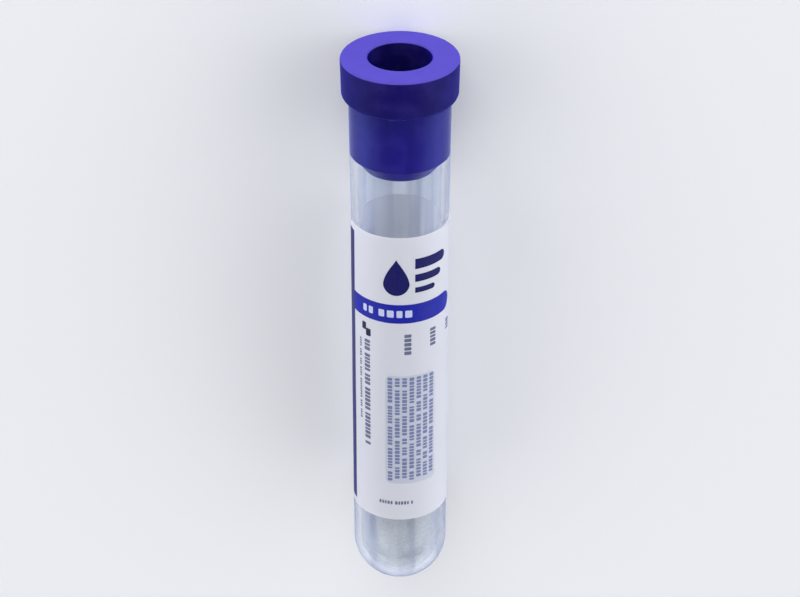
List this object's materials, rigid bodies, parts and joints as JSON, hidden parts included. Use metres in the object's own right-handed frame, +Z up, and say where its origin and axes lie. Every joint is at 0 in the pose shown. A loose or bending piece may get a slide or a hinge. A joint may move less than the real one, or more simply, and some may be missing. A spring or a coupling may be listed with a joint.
{
  "type": "blood collection tube",
  "caption": "Clear round-bottomed tube, lying on its side, closed by a rubber stopper with a needle well, with a wrap-round paper label.",
  "frame": {"origin": "centre of the footprint on the ground, midway between the round end and the top of the stopper", "axes": "+X along the tube towards the stopper; +Z up, towards the middle of the label's print"},
  "size_m": [0.0808, 0.0152, 0.0152],
  "materials": {
    "clear_tube": "clear, polished, moulded",
    "stopper_rubber": "matt moulded rubber",
    "label_paper": "coated white paper",
    "print_ink": "dark blue ink printed on the label",
    "dried_additive": "thin dried film"
  },
  "bodies": {
    "tube": {"tube": "clear_tube", "label": "label_paper", "additive": "dried_additive"},
    "stopper": {"stopper": "stopper_rubber"}
  },
  "joints": [
    {"name": "stopper_pull", "type": "slide", "parent": "tube", "child": "stopper", "axis": [0.9999, 0, 0.0162], "range_m": [0, 0.02]}
  ]
}
